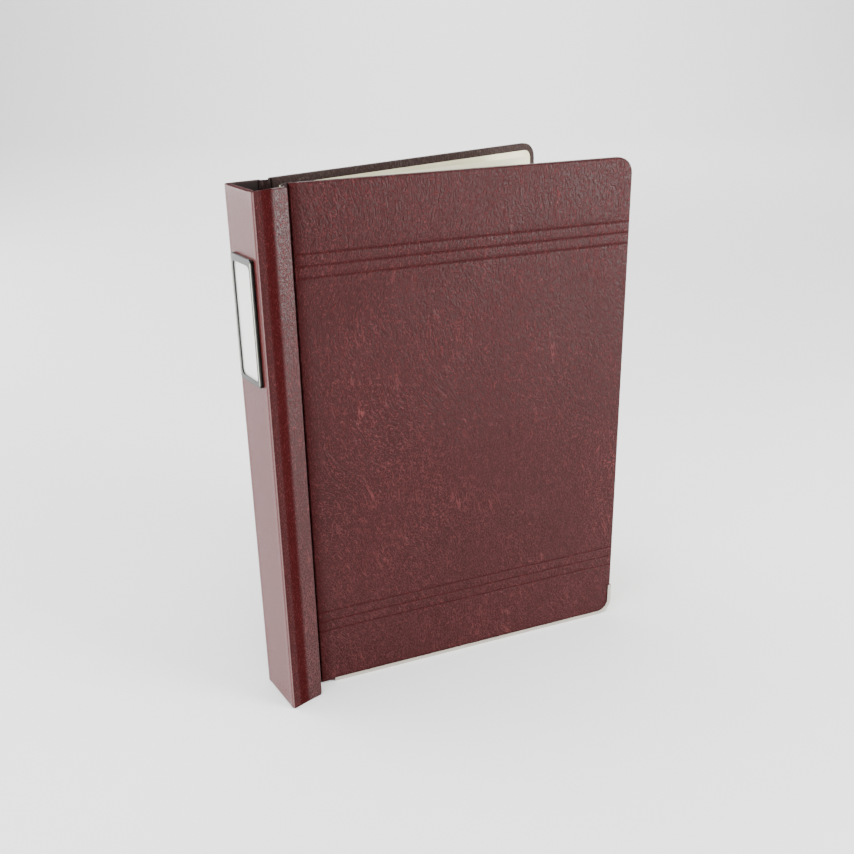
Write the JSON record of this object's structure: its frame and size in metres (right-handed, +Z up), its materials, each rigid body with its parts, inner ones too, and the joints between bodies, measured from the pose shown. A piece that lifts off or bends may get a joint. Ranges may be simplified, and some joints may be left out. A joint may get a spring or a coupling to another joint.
{
  "type": "coin album",
  "caption": "Ring-bound album in burgundy leatherette, hinged covers and flanges on a hollow spine with a metal label frame, clear pocket pages and metal-edged boards.",
  "frame": {"origin": "centre of the bounding box's footprint, on the surface the album stands on", "axes": "+X from the spine to the fore-edge, +Y from the front cover to the back cover, +Z up along the spine"},
  "size_m": [0.243, 0.1042, 0.32],
  "materials": {
    "leatherette": "burgundy leatherette, fine crinkled grain",
    "board": "grey board",
    "padding": "thin foam sheet",
    "lining": "dark brown paper",
    "endpaper": "cream paper",
    "plated": "bright nickel plate",
    "rail_steel": "nickel-plated steel",
    "shoe_metal": "satin anodised",
    "white_card": "white card",
    "cream_card": "cream card",
    "vinyl": "clear soft vinyl",
    "interleaf_card": "off-white card"
  },
  "bodies": {
    "spine": {"spine_board": "board", "spine_leatherette": "leatherette", "spine_lining": "lining", "label_frame": "plated", "ring_rail": "plated", "rail_rivets": "plated", "lever_pins": "rail_steel", "front_spine_fold": "leatherette", "back_spine_fold": "leatherette"},
    "label_card": {"label_card": "white_card"},
    "front_rings": {"front_hinge_plate": "rail_steel", "front_half_rings": "plated"},
    "back_rings": {"back_hinge_plate": "rail_steel", "back_half_rings": "plated"},
    "top_lever": {"top_lever": "plated"},
    "bottom_lever": {"bottom_lever": "plated"},
    "front_flange": {"front_flange_board": "board", "front_flange_leatherette": "leatherette", "front_flange_lining": "lining", "front_joint_gusset": "leatherette"},
    "front_cover": {"front_cover_board": "board", "front_cover_padding": "padding", "front_cover_leatherette": "leatherette", "front_endpaper": "endpaper", "front_edge_shoe": "shoe_metal"},
    "back_flange": {"back_flange_board": "board", "back_flange_leatherette": "leatherette", "back_flange_lining": "lining", "back_joint_gusset": "leatherette"},
    "back_cover": {"back_cover_board": "board", "back_cover_padding": "padding", "back_cover_leatherette": "leatherette", "back_endpaper": "endpaper", "back_edge_shoe": "shoe_metal"},
    "back_flyleaf": {"back_flyleaf": "cream_card"},
    "coin_page_4_leaf": {"coin_page_4": "vinyl"},
    "interleaf_3_leaf": {"interleaf_3": "interleaf_card"},
    "coin_page_3_leaf": {"coin_page_3": "vinyl"},
    "interleaf_2_leaf": {"interleaf_2": "interleaf_card"},
    "coin_page_2_leaf": {"coin_page_2": "vinyl"},
    "interleaf_1_leaf": {"interleaf_1": "interleaf_card"},
    "coin_page_1_leaf": {"coin_page_1": "vinyl"}
  },
  "joints": [
    {"name": "front_flange_fold", "type": "hinge", "parent": "spine", "child": "front_flange", "pos_m": [-0.11794, -0.02642, 0.16], "axis": [0, 0, 1], "range_deg": [-80, 0]},
    {"name": "front_cover_open", "type": "hinge", "parent": "front_flange", "child": "front_cover", "pos_m": [-0.09332, -0.0122, 0.16], "axis": [0, 0, 1], "range_deg": [-80, 13]},
    {"name": "back_flange_fold", "type": "hinge", "parent": "spine", "child": "back_flange", "pos_m": [-0.11794, 0.00838, 0.16], "axis": [0, 0, 1], "range_deg": [0, 80]},
    {"name": "back_cover_open", "type": "hinge", "parent": "back_flange", "child": "back_cover", "pos_m": [-0.0928, 0.0122, 0.16], "axis": [0, 0, 1], "range_deg": [-6, 80]},
    {"name": "front_rings_open", "type": "hinge", "parent": "spine", "child": "front_rings", "pos_m": [-0.11429, -0.01532, 0.16], "axis": [0, 0, 1], "range_deg": [-4, 0]},
    {"name": "back_rings_open", "type": "hinge", "parent": "spine", "child": "back_rings", "pos_m": [-0.11429, 0.00268, 0.16], "axis": [0, 0, 1], "range_deg": [0, 4]},
    {"name": "top_lever_press", "type": "hinge", "parent": "spine", "child": "top_lever", "pos_m": [-0.11414, -0.00632, 0.297], "axis": [0, 1, 0], "range_deg": [-8, 0]},
    {"name": "bottom_lever_press", "type": "hinge", "parent": "spine", "child": "bottom_lever", "pos_m": [-0.11414, -0.00632, 0.023], "axis": [0, 1, 0], "range_deg": [0, 8]},
    {"name": "label_card_slide", "type": "slide", "parent": "spine", "child": "label_card", "axis": [0, 0, 1], "range_m": [0, 0.072]},
    {"name": "back_flyleaf_turn", "type": "hinge", "parent": "spine", "child": "back_flyleaf", "pos_m": [-0.10551, -0.00632, 0.16], "axis": [0, 0, 1], "range_deg": [-8.5, 0]},
    {"name": "coin_page_4_turn", "type": "hinge", "parent": "spine", "child": "coin_page_4_leaf", "pos_m": [-0.10551, -0.00632, 0.16], "axis": [0, 0, 1], "range_deg": [-16.5, 0]},
    {"name": "interleaf_3_turn", "type": "hinge", "parent": "spine", "child": "interleaf_3_leaf", "pos_m": [-0.10551, -0.00632, 0.16], "axis": [0, 0, 1], "range_deg": [-24.5, 0]},
    {"name": "coin_page_3_turn", "type": "hinge", "parent": "spine", "child": "coin_page_3_leaf", "pos_m": [-0.10551, -0.00632, 0.16], "axis": [0, 0, 1], "range_deg": [-32.5, 0]},
    {"name": "interleaf_2_turn", "type": "hinge", "parent": "spine", "child": "interleaf_2_leaf", "pos_m": [-0.10551, -0.00632, 0.16], "axis": [0, 0, 1], "range_deg": [-40.5, 0]},
    {"name": "coin_page_2_turn", "type": "hinge", "parent": "spine", "child": "coin_page_2_leaf", "pos_m": [-0.10551, -0.00632, 0.16], "axis": [0, 0, 1], "range_deg": [-48.5, 0]},
    {"name": "interleaf_1_turn", "type": "hinge", "parent": "spine", "child": "interleaf_1_leaf", "pos_m": [-0.10551, -0.00632, 0.16], "axis": [0, 0, 1], "range_deg": [-56.5, 0]},
    {"name": "coin_page_1_turn", "type": "hinge", "parent": "spine", "child": "coin_page_1_leaf", "pos_m": [-0.10551, -0.00632, 0.16], "axis": [0, 0, 1], "range_deg": [-64.5, 0]}
  ],
  "couplings": [
    {"joint": "back_rings_open", "follows": "front_rings_open", "ratio": -1},
    {"joint": "top_lever_press", "follows": "front_rings_open", "ratio": 2},
    {"joint": "bottom_lever_press", "follows": "front_rings_open", "ratio": -2},
    {"joint": "back_flyleaf_turn", "follows": "front_flange_fold", "ratio": 0.1},
    {"joint": "coin_page_4_turn", "follows": "front_flange_fold", "ratio": 0.2},
    {"joint": "interleaf_3_turn", "follows": "front_flange_fold", "ratio": 0.3},
    {"joint": "coin_page_3_turn", "follows": "front_flange_fold", "ratio": 0.4},
    {"joint": "interleaf_2_turn", "follows": "front_flange_fold", "ratio": 0.5},
    {"joint": "coin_page_2_turn", "follows": "front_flange_fold", "ratio": 0.6},
    {"joint": "interleaf_1_turn", "follows": "front_flange_fold", "ratio": 0.7},
    {"joint": "coin_page_1_turn", "follows": "front_flange_fold", "ratio": 0.8}
  ]
}
